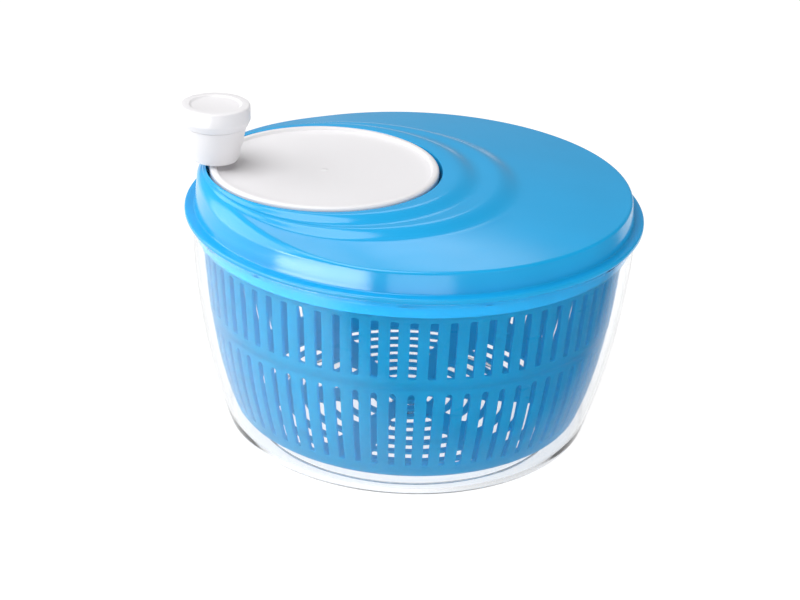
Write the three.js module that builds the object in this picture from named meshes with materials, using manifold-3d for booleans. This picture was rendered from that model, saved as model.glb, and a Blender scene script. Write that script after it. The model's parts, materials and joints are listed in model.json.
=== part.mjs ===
// A hand-cranked salad spinner: a clear bowl, a slotted basket that turns on a pin in the bowl's floor, and a
// lid whose off-centre crank disc drives the basket through a pair of gears.
// Millimetres, +Z up. The origin is on the table, on the bowl's axis. The crank's axis lies on the -X side.
import * as THREE from "three";
import { mergeVertices } from "three/addons/utils/BufferGeometryUtils.js";
import { ParametricGeometry } from "three/addons/geometries/ParametricGeometry.js";
import Module from "manifold-3d";

const wasm = await Module();
wasm.setup();

// ---------------------------------------------------------------- driving dimensions
const GAP = 0.3; // between pieces that touch or run on each other
const SEGMENTS = 48; // around the large turned pieces

// Bowl: its outer radius grows from the floor's corner to the rim.
const BOWL = {
  rimZ: 131,
  rimR: 127.8,
  rimThick: 3.4,
  topR: 125.6,
  spread: 19.6,
  power: 1.9,
  cornerZ: 9,
  floorZ: 2.2,
  floorR: 97,
  wall: 2.2,
  footOuterR: 88,
  footInnerR: 81.5,
};
BOWL.wallTopZ = BOWL.rimZ - BOWL.rimThick;
BOWL.insideZ = BOWL.floorZ + BOWL.wall;

// Pivot on which the basket turns.
const PIVOT = {
  pinR: 2,
  pinTopZ: 17.1,
  bossR: 10,
  bossTopR: 6,
  bossTopZ: 11.5,
  boreZ: 6,
  cupR: 5.4,
  cupZ: 13,
  cupBoreR: 2.4,
  cupThick: 2.9, // over the pin's tip
};
PIVOT.cupBoreZ = PIVOT.pinTopZ + GAP;
PIVOT.cupTopZ = PIVOT.cupBoreZ + PIVOT.cupThick;

// Basket: 72 slots in two rows round the wall, and rings of arc slots in the floor.
const BASKET = {
  slots: 72,
  rows: [
    { lowZ: 23.5, highZ: 72.5, width: 3.5 },
    { lowZ: 82, highZ: 116.5, width: 4.1 },
  ],
  rimZ: 127,
  topR: 118.2,
  taper: 0.075,
  spread: 8.75,
  power: 3.6,
  cornerZ: 22,
  floorZ: 13.5,
  floorR: 90.5,
  wall: 2.2,
  floorThick: 1.5,
  ringFirstR: 13,
  ringPitch: 10.3,
  rings: 8,
  ringWidth: 6.4,
  sectors: 6,
  sectorDeg: 42,
  sectorTurnDeg: 27.5,
};

// Drive notches in the basket's rim and the tabs that drop into them.
const DRIVE = {
  tabs: 6,
  tabWidth: 7.4,
  tabGap: 0.5,
  notchZ: 123,
  plateR: 112.5,
  tabR: 117.4,
  plateZ: 125.5,
  hubR: 8.5,
  hubLowZ: 124,
  ribWidth: 2,
};

// Lid: eccentric rings between the crank recess and the outer edge, stepping down in two ripples.
const LID = {
  flangeR: 130,
  flangeZ: BOWL.rimZ + GAP,
  flangeThick: 2.8,
  skirtR: 124.4,
  edgeR: 122,
  edgeZ: 146,
  padZ: 157.5,
  leftHold: 0.87, // how much of the pad's height the narrow side keeps out to the edge
  leftSpreadDeg: 75,
  wall: 2.2,
  ringR: 122.6, // locating ring that hangs inside the bowl's mouth
  ringZ: 120.5,
};

// Gears. The crank gear drives the pinion, whose axis is the bowl's.
const GEARS = { module: 1.5, crankTeeth: 55, pinionTeeth: 14, pressureDeg: 20, thin: 0.24, lowZ: 147.8, highZ: 152.4 };
const CRANK_X = (-GEARS.module * (GEARS.crankTeeth + GEARS.pinionTeeth)) / 2;

// Crank disc, its recess in the lid, and the knob on it.
const CRANK = {
  discR: 64.2,
  rimZ: 158.6,
  centreZ: 155.5,
  rimR: 59.6,
  skirtZ: 153.6,
  wall: 2.2,
  recessR: 66.1,
  bossR: 3.4, // round each gear screw
  lugR: 4.4, // round the knob's spindle
};
const RECESS = { floorZ: 146.2, wall: 2.2 };
const KNOB = { fromCrank: 61, restDeg: 172.5, baseZ: 159.9, baseR: 12.8, topR: 17.3, capZ: 180.4, capR: 19.4 };
KNOB.neckHeight = 2.8; // how far the body reaches up into the cap
KNOB.topZ = KNOB.capZ + 12;

// ---------------------------------------------------------------- colours
const material = (color, roughness, metalness = 0, opacity = 1) =>
  new THREE.MeshStandardMaterial({ color, roughness, metalness, opacity, transparent: opacity < 1 });
const CLEAR = material(0xf4f7fa, 0.05, 0, 0.3);
const BLUE = material(0x45acdf, 0.28);
const BLUE_SHEER = material(0x2b8fd0, 0.35, 0, 0.85);
const WHITE = material(0xf0eeee, 0.35);
const ACETAL = material(0xe6e4dc, 0.5);
const STEEL = material(0xb9bcc0, 0.25, 1);

// ---------------------------------------------------------------- tools
const v2 = (x, y) => new THREE.Vector2(x, y);
const radians = THREE.MathUtils.degToRad;
const UP = new THREE.Vector3(0, 0, 1);

function toSolid(geometry) {
  const bare = geometry.index ? geometry.toNonIndexed() : geometry.clone();
  bare.deleteAttribute("normal");
  bare.deleteAttribute("uv");
  const merged = mergeVertices(bare, 1e-4);
  const triVerts = new Uint32Array(merged.index.array);
  return new wasm.Manifold(
    new wasm.Mesh({ numProp: 3, vertProperties: merged.attributes.position.array, triVerts }),
  );
}

function toGeometry(solid) {
  const { numProp, numVert, vertProperties, triVerts } = solid.getMesh();
  const position = new Float32Array(numVert * 3);
  for (let i = 0; i < numVert; i++) {
    position.set(vertProperties.subarray(i * numProp, i * numProp + 3), i * 3);
  }
  const geometry = new THREE.BufferGeometry();
  geometry.setAttribute("position", new THREE.BufferAttribute(position, 3));
  geometry.setIndex(new THREE.BufferAttribute(new Uint32Array(triVerts), 1));
  return geometry;
}

// A turned solid. The outline runs up the outside and down the inside, in (radius, height).
function turned(outline, segments = SEGMENTS) {
  return new THREE.LatheGeometry(outline, segments).rotateX(Math.PI / 2);
}

function turnedRing(outline, segments = SEGMENTS) {
  return turned([...outline, outline[0]], segments);
}

function cylinder(r, z0, z1, segments = 16) {
  return new THREE.CylinderGeometry(r, r, z1 - z0, segments).rotateX(Math.PI / 2).translate(0, 0, (z0 + z1) / 2);
}

function block(x0, x1, y0, y1, z0, z1) {
  const box = new THREE.BoxGeometry(x1 - x0, y1 - y0, z1 - z0);
  return box.translate((x0 + x1) / 2, (y0 + y1) / 2, (z0 + z1) / 2);
}

function plate(shape, z0, z1) {
  return new THREE.ExtrudeGeometry(shape, { depth: z1 - z0, bevelEnabled: false, curveSegments: 6 }).translate(0, 0, z0);
}

function joined(...geometries) {
  return toGeometry(geometries.map(toSolid).reduce((a, b) => a.add(b)));
}

function cut(geometry, ...tools) {
  const tool = tools.map(toSolid).reduce((a, b) => a.add(b));
  return toGeometry(toSolid(geometry).subtract(tool));
}

const around = (count, make) => Array.from({ length: count }, (_, i) => make((i * 2 * Math.PI) / count, i));
const curvePoints = (curve, divisions) => curve.getPoints(divisions);

// ---------------------------------------------------------------- bowl
function bowlR(z) {
  const below = (BOWL.wallTopZ - z) / (BOWL.wallTopZ - BOWL.cornerZ);
  return BOWL.topR - BOWL.spread * Math.max(below, 0) ** BOWL.power;
}

function bowlGeometry() {
  const wallZ = [18, 36, 62, 94, BOWL.wallTopZ];
  const cornerR = bowlR(BOWL.cornerZ);
  const outside = new THREE.QuadraticBezierCurve(
    v2(BOWL.floorR, BOWL.floorZ),
    v2(cornerR - 2.2, BOWL.floorZ),
    v2(cornerR, BOWL.cornerZ),
  );
  const inside = new THREE.QuadraticBezierCurve(
    v2(cornerR - BOWL.wall + 0.4, BOWL.cornerZ + 1.6),
    v2(cornerR - 2 * BOWL.wall, BOWL.insideZ),
    v2(BOWL.floorR - 1, BOWL.insideZ),
  );
  const outline = [
    v2(0, BOWL.floorZ),
    v2(BOWL.footInnerR - 0.6, BOWL.floorZ),
    v2(BOWL.footInnerR, 0),
    v2(BOWL.footOuterR, 0),
    v2(BOWL.footOuterR + 1, BOWL.floorZ - 0.4),
    ...curvePoints(outside, 3),
    ...wallZ.map((z) => v2(bowlR(z), z)),
    v2(BOWL.rimR, BOWL.wallTopZ + 0.8),
    v2(BOWL.rimR, BOWL.rimZ),
    v2(bowlR(BOWL.rimZ) - BOWL.wall, BOWL.rimZ),
    ...wallZ.toReversed().map((z) => v2(bowlR(z) - BOWL.wall, z)),
    ...curvePoints(inside, 3),
    v2(PIVOT.bossR, BOWL.insideZ),
    v2(PIVOT.bossTopR, PIVOT.bossTopZ),
    v2(0, PIVOT.bossTopZ),
  ];
  return cut(turned(outline), cylinder(PIVOT.pinR + GAP, PIVOT.boreZ, PIVOT.bossTopZ + 1));
}

function pivotPinGeometry() {
  const tip = new THREE.QuadraticBezierCurve(
    v2(PIVOT.pinR, PIVOT.pinTopZ - 1.2),
    v2(PIVOT.pinR, PIVOT.pinTopZ),
    v2(0, PIVOT.pinTopZ),
  );
  return turned([v2(0, PIVOT.boreZ + GAP), v2(PIVOT.pinR, PIVOT.boreZ + GAP), ...curvePoints(tip, 3)], 16);
}

function pivotCupGeometry() {
  const chamfer = 0.6;
  return turned(
    [
      v2(0, PIVOT.cupBoreZ),
      v2(PIVOT.cupBoreR, PIVOT.cupBoreZ),
      v2(PIVOT.cupBoreR, PIVOT.cupZ),
      v2(PIVOT.cupR, PIVOT.cupZ),
      v2(PIVOT.cupR, PIVOT.cupTopZ - chamfer),
      v2(PIVOT.cupR - chamfer, PIVOT.cupTopZ),
      v2(0, PIVOT.cupTopZ),
    ],
    20,
  );
}

// ---------------------------------------------------------------- basket
function basketR(z) {
  const below = (BASKET.rimZ - z) / (BASKET.rimZ - BASKET.cornerZ);
  return BASKET.topR - BASKET.taper * (BASKET.rimZ - z) - BASKET.spread * Math.max(below, 0) ** BASKET.power;
}

// The outline of the basket, with a socket under its middle that holds the pivot's cup.
function basketOutline() {
  const [lowRow, highRow] = BASKET.rows;
  const wallZ = [50, (lowRow.highZ + highRow.lowZ) / 2, BASKET.rimZ];
  const cornerR = basketR(BASKET.cornerZ);
  const socketR = PIVOT.cupR + 0.4;
  const socketTopZ = PIVOT.cupTopZ + 0.4;
  const topOfFloor = BASKET.floorZ + BASKET.floorThick;
  const outside = new THREE.QuadraticBezierCurve(
    v2(BASKET.floorR, BASKET.floorZ),
    v2(cornerR - 2.5, BASKET.floorZ),
    v2(cornerR, BASKET.cornerZ),
  );
  return [
    v2(0, socketTopZ),
    v2(socketR, socketTopZ),
    v2(socketR, BASKET.floorZ - 0.9),
    v2(socketR + 2.4, BASKET.floorZ - 0.9),
    v2(socketR + 3.2, BASKET.floorZ),
    ...curvePoints(outside, 2),
    ...wallZ.map((z) => v2(basketR(z), z)),
    ...wallZ.toReversed().map((z) => v2(basketR(z) - BASKET.wall, z)),
    v2(cornerR - BASKET.wall, BASKET.cornerZ + 1),
    v2(BASKET.floorR, topOfFloor),
    v2(socketR + 3.6, topOfFloor),
    v2(socketR + 2, socketTopZ + 2),
    v2(0, socketTopZ + 2.6),
  ];
}

// An arc slot in the floor, centred on the X axis before it is turned into place.
function arcSlot(r, angle) {
  const half = radians(BASKET.sectorDeg / 2);
  const outerR = r + BASKET.ringWidth / 2;
  const innerR = r - BASKET.ringWidth / 2;
  const steps = r < 40 ? 2 : 3;
  const arc = (radius, from, to) =>
    Array.from({ length: steps + 1 }, (_, i) => {
      const a = angle + from + ((to - from) * i) / steps;
      return v2(radius * Math.cos(a), radius * Math.sin(a));
    });
  const shape = new THREE.Shape([...arc(outerR, -half, half), ...arc(innerR, half, -half)]);
  return plate(shape, BASKET.floorZ - 2, BASKET.floorZ + BASKET.floorThick + 2);
}

function basketGeometry() {
  const inside = BASKET.floorR - 10; // radii well inside and well outside the wall
  const reach = BASKET.topR + 5;
  const slots = BASKET.rows.flatMap(({ lowZ, highZ, width }) =>
    around(BASKET.slots, (angle) =>
      block(inside, reach, -width / 2, width / 2, lowZ, highZ).rotateZ(angle + Math.PI / BASKET.slots),
    ),
  );
  const arcs = Array.from({ length: BASKET.rings }, (_, ring) =>
    around(BASKET.sectors, (angle) =>
      arcSlot(BASKET.ringFirstR + ring * BASKET.ringPitch, angle + radians(BASKET.sectorTurnDeg)),
    ),
  ).flat();
  const half = DRIVE.tabWidth / 2 + DRIVE.tabGap;
  const notches = around(DRIVE.tabs, (angle) =>
    block(DRIVE.plateR, reach, -half, half, DRIVE.notchZ, BASKET.rimZ + 2).rotateZ(angle),
  );
  return cut(turned(basketOutline(), BASKET.slots), ...slots, ...arcs, ...notches);
}

// ---------------------------------------------------------------- lid
// How far the lid's top has come down from the pad, from 0 at the recess to 1 at the outer edge.
function lidDrop(t) {
  const step = (centre, width) => THREE.MathUtils.smoothstep(t, centre - width / 2, centre + width / 2);
  const steps = 0.3 * step(0.14, 0.12) + 0.35 * step(0.35, 0.14);
  return steps + 0.35 * Math.max(0, (t - 0.42) / 0.58);
}

// 1 on the side where the crank recess nearly reaches the edge, 0 elsewhere.
function narrowSide(angle) {
  const off = Math.abs(Math.PI - angle);
  return 1 - THREE.MathUtils.smoothstep(off, 0, radians(LID.leftSpreadDeg));
}

function lidTopZ(t, angle) {
  return LID.padZ - (LID.padZ - LID.edgeZ) * lidDrop(t) * (1 - LID.leftHold * narrowSide(angle));
}

// Each ring is a circle: where its centre is on X, its radius, and its height, which may change with the angle.
function lidRings() {
  const flat = (centre, r, z) => ({ centre, r, z: () => z });
  const onTop = (t, down = 0) => ({
    centre: CRANK_X * (1 - t),
    r: CRANK.recessR + (LID.edgeR - CRANK.recessR) * t,
    z: (angle) => lidTopZ(t, angle) - down,
  });
  const edge = (r, down) => ({ centre: 0, r, z: (angle) => lidTopZ(1, angle) - down });
  const flangeTopZ = LID.flangeZ + LID.flangeThick;
  const shares = [0.985, 0.72, 0.46, 0.41, 0.35, 0.29, 0.2, 0.14, 0.08, 0.02];
  const wallR = CRANK.recessR + RECESS.wall;
  return [
    flat(CRANK_X, 0, RECESS.floorZ - RECESS.wall),
    flat(CRANK_X, wallR, RECESS.floorZ - RECESS.wall),
    { centre: CRANK_X, r: wallR, z: (angle) => lidTopZ(0.05, angle) - LID.wall },
    ...[0.14, 0.28, 0.42, 0.7].map((t) => onTop(t, LID.wall)),
    edge(LID.edgeR - LID.wall, LID.wall + 0.6),
    flat(0, LID.ringR - 2, LID.flangeZ + 1),
    flat(0, LID.ringR - 2, LID.ringZ),
    flat(0, LID.ringR, LID.ringZ),
    flat(0, LID.ringR, LID.flangeZ),
    flat(0, LID.flangeR, LID.flangeZ),
    flat(0, LID.flangeR, flangeTopZ - 0.8),
    flat(0, LID.flangeR - 0.8, flangeTopZ),
    flat(0, LID.skirtR + 0.7, flangeTopZ),
    flat(0, LID.skirtR, flangeTopZ + 0.8),
    edge(LID.edgeR + 0.9, 2.4),
    edge(LID.edgeR + 0.2, 0.7),
    ...shares.map((t) => onTop(t)),
    flat(CRANK_X, CRANK.recessR, LID.padZ - 0.8),
    flat(CRANK_X, CRANK.recessR, RECESS.floorZ),
    flat(CRANK_X, 0, RECESS.floorZ),
  ];
}

function ringSurface(rings, segments) {
  const last = rings.length - 1;
  const place = (u, v, target) => {
    const ring = rings[Math.round(v * last)];
    const angle = u === 1 ? 0 : u * 2 * Math.PI;
    target.set(ring.centre + ring.r * Math.cos(angle), ring.r * Math.sin(angle), ring.z(angle));
  };
  return new ParametricGeometry(place, segments, last);
}

// A flanged bush in the lid's floor, and the boss that holds it.
const BUSH = { r: 6, flangeR: 8.2, flangeThick: 1, bottomZ: 137, bossR: 9, boreR: 4.3 };

function lidGeometry() {
  const bossTopZ = RECESS.floorZ - 0.5;
  const boss = (x) => cylinder(BUSH.bossR, BUSH.bottomZ, bossTopZ, 20).translate(x, 0, 0);
  const bore = (x) => cylinder(BUSH.r + GAP, BUSH.bottomZ - 1, RECESS.floorZ + 1, 20).translate(x, 0, 0);
  const shell = joined(ringSurface(lidRings(), SEGMENTS), boss(0), boss(CRANK_X));
  return cut(shell, bore(0), bore(CRANK_X));
}

function bushGeometry() {
  const flangeZ = RECESS.floorZ + GAP;
  return turnedRing(
    [
      v2(BUSH.boreR, BUSH.bottomZ),
      v2(BUSH.r, BUSH.bottomZ),
      v2(BUSH.r, flangeZ),
      v2(BUSH.flangeR, flangeZ),
      v2(BUSH.flangeR, flangeZ + BUSH.flangeThick),
      v2(BUSH.boreR, flangeZ + BUSH.flangeThick),
    ],
    20,
  );
}

// ---------------------------------------------------------------- gears
// The outline of an involute gear, with a tooth centred on the X axis. thin is taken off each tooth.
function gearShape(teeth, addendum, flankSteps) {
  const { module, pressureDeg, thin } = GEARS;
  const pitchR = (module * teeth) / 2;
  const baseR = pitchR * Math.cos(radians(pressureDeg));
  const rootR = pitchR - 1.25 * module;
  const involute = (r) => {
    const turn = Math.acos(Math.min(1, baseR / r));
    return Math.tan(turn) - turn;
  };
  const halfAtPitch = Math.PI / (2 * teeth) - thin / 2 / pitchR;
  const halfAt = (r) => halfAtPitch + involute(pitchR) - involute(Math.max(r, baseR));
  const firstR = Math.max(rootR, baseR);
  const flank = Array.from({ length: flankSteps + 1 }, (_, i) => {
    return firstR + ((pitchR + addendum - firstR) * i) / flankSteps;
  });
  const radii = baseR > rootR ? [rootR, ...flank] : flank;
  const points = around(teeth, (angle) => {
    const up = radii.map((r) => [r, angle - halfAt(r)]);
    const down = radii.toReversed().map((r) => [r, angle + halfAt(r)]);
    return [...up, ...down].map(([r, a]) => v2(r * Math.cos(a), r * Math.sin(a)));
  }).flat();
  return new THREE.Shape(points);
}

const SCREW = {
  headR: 2.8,
  wideHeadR: 3.6,
  headThick: 1.7,
  shankR: 1.2,
  gearLength: 4.9,
  driveLength: 10.5,
  axleLength: 13,
};

// A pan-head screw, head down, with its head's top face at z.
function screwGeometry(z, length, headR = SCREW.headR) {
  const { shankR, headThick } = SCREW;
  return turned(
    [
      v2(0, z - headThick),
      v2(headR * 0.75, z - headThick),
      v2(headR, z - headThick * 0.6),
      v2(headR, z),
      v2(shankR, z),
      v2(shankR, z + length - 1),
      v2(0, z + length),
    ],
    12,
  );
}

const WASHER = { thick: 0.8, driveR: 6.5, axleR: 7.5, nutThick: 0.9, nutR: 5.2 };

function washerGeometry(z, outerR, innerR, thick = WASHER.thick) {
  return turnedRing([v2(innerR, z), v2(outerR, z), v2(outerR, z + thick), v2(innerR, z + thick)], 20);
}

const STUB = { r: BUSH.boreR - GAP, bottomZ: BUSH.bottomZ + 0.4, screwR: 1.5, screwTopZ: 149.5 };
const GEAR_SCREW_R = 22; // circle on which the three gear screws sit
const WEB = { z: 150, innerR: 9, outerR: 34 }; // the pocket under the crank gear leaves a thin web over it

// The crank gear, centred on its own axis: teeth, a thin web and a stub that turns in the lid's bush.
function crankGearGeometry() {
  const teeth = plate(gearShape(GEARS.crankTeeth, 0.88 * GEARS.module, 1), GEARS.lowZ, GEARS.highZ);
  const stub = cylinder(STUB.r, STUB.bottomZ, GEARS.highZ);
  const pocket = turnedRing(
    [
      v2(WEB.innerR, GEARS.lowZ - 1),
      v2(WEB.outerR, GEARS.lowZ - 1),
      v2(WEB.outerR, WEB.z),
      v2(WEB.innerR, WEB.z),
    ],
    24,
  );
  const bores = around(3, (angle) =>
    cylinder(SCREW.shankR + GAP, WEB.z - 1, GEARS.highZ + 1, 12).translate(GEAR_SCREW_R, 0, 0).rotateZ(angle),
  );
  const axle = cylinder(STUB.screwR, STUB.bottomZ - 1, STUB.screwTopZ, 12);
  return cut(joined(teeth, stub), pocket, axle, ...bores);
}

const SQUARE = 5.6; // the pinion's square end
const SQUARE_TOP_Z = 136.6;
const SQUARE_LOW_Z = 124.6;

// The pinion is turned by half a tooth, so that a gap faces the crank gear's tooth.
function pinionGeometry() {
  const teeth = plate(gearShape(GEARS.pinionTeeth, 0.94 * GEARS.module, 3), GEARS.lowZ, GEARS.highZ);
  const shaft = cylinder(STUB.r, SQUARE_TOP_Z, GEARS.highZ);
  const end = block(-SQUARE / 2, SQUARE / 2, -SQUARE / 2, SQUARE / 2, SQUARE_LOW_Z, SQUARE_TOP_Z + 0.2);
  const bore = cylinder(SCREW.shankR + GAP, SQUARE_LOW_Z - 1, SQUARE_TOP_Z - 2, 12);
  return cut(joined(teeth.rotateZ(pinionPhase()), shaft, end), bore);
}

// The crank gear has a tooth on its +X axis, so the pinion needs a gap on its -X side.
function pinionPhase() {
  const pitch = (2 * Math.PI) / GEARS.pinionTeeth;
  return GEARS.pinionTeeth % 2 === 0 ? pitch / 2 : 0;
}

// ---------------------------------------------------------------- drive plate
// A shallow cone with a square socket in its hub, a rib along each tab's line, and the tabs at its edge.
function drivePlateGeometry() {
  const low = DRIVE.plateZ;
  const { plateR, tabR, hubR, hubLowZ, ribWidth } = DRIVE;
  const middleR = hubR + 3.5;
  const dish = turned(
    [
      v2(0, low + 1),
      v2(middleR, low + 0.9),
      v2(plateR, low),
      v2(plateR, low + 2.2),
      v2(middleR, low + 4.6),
      v2(0, low + 4.8),
    ],
    36,
  );
  const hub = cylinder(hubR, hubLowZ, SQUARE_TOP_Z - 0.2, 20);
  const half = DRIVE.tabWidth / 2;
  const tabs = around(DRIVE.tabs, (angle) =>
    block(plateR - 8, tabR, -half, half, low - 1.4, low + 1.8).rotateZ(angle),
  );
  const ribs = around(DRIVE.tabs, (angle) =>
    block(hubR - 1.5, plateR - 8.5, -ribWidth / 2, ribWidth / 2, low + 1.6, low + 6).rotateZ(angle),
  );
  const side = SQUARE / 2 + GAP;
  const socket = block(-side, side, -side, side, SQUARE_LOW_Z - 2, SQUARE_TOP_Z + 2);
  return cut(joined(dish, hub, ...tabs, ...ribs), socket);
}

// ---------------------------------------------------------------- crank disc
function dishZ(r) {
  return CRANK.centreZ + (CRANK.rimZ - 0.7 - CRANK.centreZ) * (r / CRANK.rimR) ** 2;
}

// A shallow dish with a raised rim, a lug that holds the knob's spindle, and three bosses for the gear's screws.
function crankDiscGeometry() {
  const under = CRANK.discR - CRANK.wall;
  const disc = turned([
    v2(0, dishZ(0) - CRANK.wall),
    v2(30, dishZ(30) - CRANK.wall),
    v2(under, CRANK.rimZ - 2.6),
    v2(under, CRANK.skirtZ),
    v2(CRANK.discR, CRANK.skirtZ),
    v2(CRANK.discR, CRANK.rimZ - 1.4),
    v2(CRANK.discR - 1.2, CRANK.rimZ),
    v2(CRANK.rimR + 0.4, CRANK.rimZ),
    v2(CRANK.rimR, dishZ(CRANK.rimR)),
    v2(42, dishZ(42)),
    v2(22, dishZ(22)),
    v2(0, dishZ(0)),
  ]);
  const lug = cylinder(CRANK.lugR, CRANK.skirtZ, CRANK.rimZ, 16).translate(KNOB.fromCrank, 0, 0);
  const eye = cylinder(SPINDLE.r + GAP, CRANK.skirtZ - 1, CRANK.rimZ + 1, 16).translate(KNOB.fromCrank, 0, 0);
  const knobTurn = radians(KNOB.restDeg);
  const bossLowZ = GEARS.highZ + GAP;
  const bosses = around(3, (angle) =>
    cylinder(CRANK.bossR, bossLowZ, dishZ(0) - 0.5, 12).translate(GEAR_SCREW_R, 0, 0).rotateZ(angle),
  );
  const pilots = around(3, (angle) =>
    cylinder(SCREW.shankR + GAP, bossLowZ - 1, dishZ(0) - 0.6, 12).translate(GEAR_SCREW_R, 0, 0).rotateZ(angle),
  );
  return cut(joined(disc, lug.rotateZ(knobTurn), ...bosses), eye.rotateZ(knobTurn), ...pilots);
}

// ---------------------------------------------------------------- knob
const SPINDLE = { r: 2, lowZ: 153.9, topZ: 185.3, collarR: 4.5, collarZ: 158.9, collarThick: 0.7 };
const NUT_Z = 183;
const KNOB_WALL = 1.8;
const TUBE_R = 5;

function spindleGeometry() {
  const { r, lowZ, topZ, collarR, collarZ, collarThick } = SPINDLE;
  return turned(
    [
      v2(0, lowZ),
      v2(r, lowZ),
      v2(r, collarZ),
      v2(collarR, collarZ),
      v2(collarR, collarZ + collarThick),
      v2(r, collarZ + collarThick),
      v2(r, topZ - 0.6),
      v2(r - 0.6, topZ),
      v2(0, topZ),
    ],
    16,
  );
}

function knobBodyGeometry() {
  const { baseZ, baseR, topR, capZ } = KNOB;
  const neckZ = capZ + KNOB.neckHeight;
  return turnedRing(
    [
      v2(SPINDLE.r + GAP, baseZ),
      v2(baseR - 1.2, baseZ),
      v2(baseR, baseZ + 1.2),
      v2(topR, capZ - GAP),
      v2(topR - 1, capZ - GAP),
      v2(topR - 1, neckZ),
      v2(topR - 1 - KNOB_WALL, neckZ),
      v2(baseR - KNOB_WALL, baseZ + 2.4),
      v2(TUBE_R, baseZ + 2.4),
      v2(TUBE_R, NUT_Z - GAP),
      v2(SPINDLE.r + GAP, NUT_Z - GAP),
    ],
    28,
  );
}

function knobCapGeometry() {
  const { capZ, capR, topR, topZ } = KNOB;
  const insideR = topR - 1 + GAP;
  return turned(
    [
      v2(0, topZ - 3.4),
      v2(insideR, topZ - 3.4),
      v2(insideR, capZ),
      v2(capR - 0.9, capZ),
      v2(capR + 0.2, capZ + 3.4),
      v2(capR, topZ - 1),
      v2(capR - 1, topZ),
      v2(14.6, topZ),
      v2(13.8, topZ - 0.9),
      v2(0, topZ - 1.4),
    ],
    32,
  );
}

// ---------------------------------------------------------------- assembly
const spinner = new THREE.Group();
const crank = new THREE.Group();
const knob = new THREE.Group();
crank.position.set(CRANK_X, 0, 0);
knob.position.set(KNOB.fromCrank, 0, 0).applyAxisAngle(UP, radians(KNOB.restDeg));
spinner.add(crank);
crank.add(knob);

function add(parent, name, geometry, finish) {
  const mesh = new THREE.Mesh(geometry, finish);
  mesh.name = name;
  parent.add(mesh);
  return mesh;
}

add(spinner, "bowl", bowlGeometry(), CLEAR);
add(spinner, "pivot_pin", pivotPinGeometry(), STEEL);
add(spinner, "pivot_cup", pivotCupGeometry(), ACETAL);
add(spinner, "basket", basketGeometry(), BLUE_SHEER);

add(spinner, "lid_shell", lidGeometry(), BLUE);
add(spinner, "pinion_bush", bushGeometry(), ACETAL);
add(spinner, "pinion", pinionGeometry(), ACETAL);
add(spinner, "drive_plate", drivePlateGeometry(), BLUE_SHEER);
const DRIVE_WASHER_Z = DRIVE.hubLowZ - GAP - WASHER.thick;
add(spinner, "drive_washer", washerGeometry(DRIVE_WASHER_Z, WASHER.driveR, SCREW.shankR + GAP), STEEL);
add(spinner, "drive_screw", screwGeometry(DRIVE_WASHER_Z - GAP, SCREW.driveLength, SCREW.wideHeadR), STEEL);

add(crank, "crank_bush", bushGeometry(), ACETAL);
add(crank, "crank_disc", crankDiscGeometry(), WHITE);
add(crank, "crank_gear", crankGearGeometry(), ACETAL);
const AXLE_WASHER_Z = BUSH.bottomZ - GAP - WASHER.thick;
add(crank, "axle_washer", washerGeometry(AXLE_WASHER_Z, WASHER.axleR, SCREW.shankR + GAP), STEEL);
add(crank, "axle_screw", screwGeometry(AXLE_WASHER_Z - GAP, SCREW.axleLength, SCREW.wideHeadR), STEEL);
around(3, (angle, i) => {
  const screw = add(crank, `gear_screw_${i + 1}`, screwGeometry(WEB.z - GAP, SCREW.gearLength), STEEL);
  screw.position.set(GEAR_SCREW_R * Math.cos(angle), GEAR_SCREW_R * Math.sin(angle), 0);
});

add(knob, "knob_spindle", spindleGeometry(), STEEL);
add(knob, "knob_push_nut", washerGeometry(NUT_Z, WASHER.nutR, SPINDLE.r + GAP, WASHER.nutThick), STEEL);
add(knob, "knob_body", knobBodyGeometry(), WHITE);
add(knob, "knob_cap", knobCapGeometry(), WHITE);

export default spinner;
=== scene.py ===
"""The looks of a hand-cranked salad spinner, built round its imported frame.

Outlines are in millimetres, as (radius, height) for what is turned; objects are in metres, +Z up.
"""

import json
import math

import bmesh
import bpy
import numpy as np
from mathutils import Matrix, Vector


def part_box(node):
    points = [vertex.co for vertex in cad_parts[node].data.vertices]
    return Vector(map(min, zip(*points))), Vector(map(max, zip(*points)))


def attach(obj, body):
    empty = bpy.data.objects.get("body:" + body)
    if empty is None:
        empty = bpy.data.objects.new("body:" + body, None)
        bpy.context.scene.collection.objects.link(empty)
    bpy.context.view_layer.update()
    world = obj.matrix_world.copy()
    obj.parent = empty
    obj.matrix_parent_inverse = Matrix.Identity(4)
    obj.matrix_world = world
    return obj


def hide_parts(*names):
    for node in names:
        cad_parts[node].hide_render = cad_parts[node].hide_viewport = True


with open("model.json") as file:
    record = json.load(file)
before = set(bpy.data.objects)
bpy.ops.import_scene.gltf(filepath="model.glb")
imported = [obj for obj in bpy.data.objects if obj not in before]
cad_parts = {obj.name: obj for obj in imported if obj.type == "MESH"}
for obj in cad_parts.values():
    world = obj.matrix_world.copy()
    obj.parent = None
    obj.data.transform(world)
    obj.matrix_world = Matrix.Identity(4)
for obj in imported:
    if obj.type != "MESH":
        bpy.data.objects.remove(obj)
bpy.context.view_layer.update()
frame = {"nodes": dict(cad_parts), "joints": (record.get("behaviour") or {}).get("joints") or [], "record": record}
MM = 0.001

RECORD = frame["record"]
BODY_OF = {n: body for body, nodes in RECORD["behaviour"]["bodies"].items() for n in nodes}
SLOT_OF = {s["node"]: s["material_slot"] for s in RECORD["subparts"]}
JOINT = {j["name"]: j for j in frame["joints"]}


def span(node):
    """A node's lowest and highest corner, in millimetres."""
    low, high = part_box(node)
    return low / MM, high / MM


def axis_of(joint):
    """The point in the XY plane that a hinge turns about, in millimetres."""
    return Vector(JOINT[joint]["pos_m"][:2]) / MM


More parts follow.
